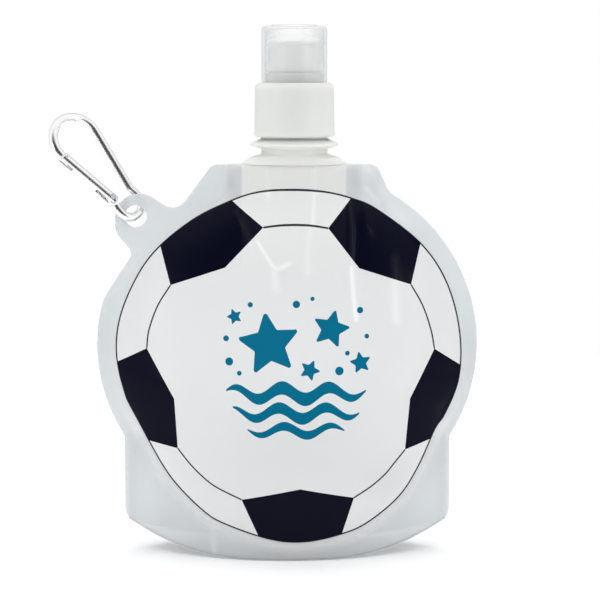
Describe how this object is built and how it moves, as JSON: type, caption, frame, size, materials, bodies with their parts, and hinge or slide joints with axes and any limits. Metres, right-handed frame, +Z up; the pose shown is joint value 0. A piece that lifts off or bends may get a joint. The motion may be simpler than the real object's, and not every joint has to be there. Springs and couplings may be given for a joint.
{
  "type": "collapsible sports squeeze bottle",
  "caption": "Flat film water pouch with a round printed body, gusseted base, screw cap with push-pull mouthpiece, clear overcap and small carabiner.",
  "frame": {"origin": "on the floor, under the middle of the whole bottle's width and depth, carabiner included; the spout's axis stands at x = +12.2 mm, y = 0", "axes": "+Z up along the spout, -Y towards the printed front, +X to the right as seen from the front"},
  "size_m": [0.1616, 0.055, 0.1994],
  "materials": {
    "printed_film": "glossy milky film, printed",
    "plain_film": "glossy milky film",
    "spout_plastic": "natural polyethylene, satin",
    "gasket_rubber": "white silicone",
    "cap_plastic": "natural polypropylene, satin",
    "mouthpiece_plastic": "natural polyethylene, satin",
    "overcap_plastic": "translucent, glossy",
    "carabiner_metal": "polished",
    "rivet_steel": "satin"
  },
  "bodies": {
    "pouch": {"front_panel": "printed_film", "rear_panel": "plain_film", "bottom_gusset": "plain_film", "spout": "spout_plastic"},
    "cap_seal": {"cap_gasket": "gasket_rubber"},
    "cap": {"cap_collar": "cap_plastic"},
    "push_pull": {"mouthpiece": "mouthpiece_plastic"},
    "cover": {"overcap": "overcap_plastic"},
    "carabiner": {"carabiner_frame": "carabiner_metal", "gate_rivet": "rivet_steel", "gate_spring": "rivet_steel"},
    "gate": {"carabiner_gate": "carabiner_metal", "latch_pin": "rivet_steel"}
  },
  "joints": [
    {"name": "cap_lead", "type": "slide", "parent": "pouch", "child": "cap_seal", "axis": [0, 0, 1], "range_m": [0, 0.00601]},
    {"name": "cap_turn", "type": "hinge", "parent": "cap_seal", "child": "cap", "pos_m": [0.0122, 0, 0.1669], "axis": [0, 0, 1], "range_deg": [0, 540]},
    {"name": "mouthpiece_pull", "type": "slide", "parent": "cap", "child": "push_pull", "axis": [0, 0, 1], "range_m": [0, 0.008]},
    {"name": "overcap_lift", "type": "slide", "parent": "push_pull", "child": "cover", "axis": [0, 0, 1], "range_m": [0, 0.03]},
    {"name": "carabiner_swing", "type": "hinge", "parent": "pouch", "child": "carabiner", "pos_m": [-0.0479, 0, 0.1273], "axis": [0, 1, 0], "range_deg": [-70, 25]},
    {"name": "gate_open", "type": "hinge", "parent": "carabiner", "child": "gate", "pos_m": [-0.05686, -0.00212, 0.13425], "axis": [-0.4974, 0.766, -0.4071], "range_deg": [0, 25], "stiffness_Nm_per_rad": 0.01, "springref_deg": -17.19, "deforming": ["gate_spring"]}
  ],
  "couplings": [
    {"joint": "cap_lead", "follows": "cap_turn", "m_per_rad": 0.00063662}
  ]
}
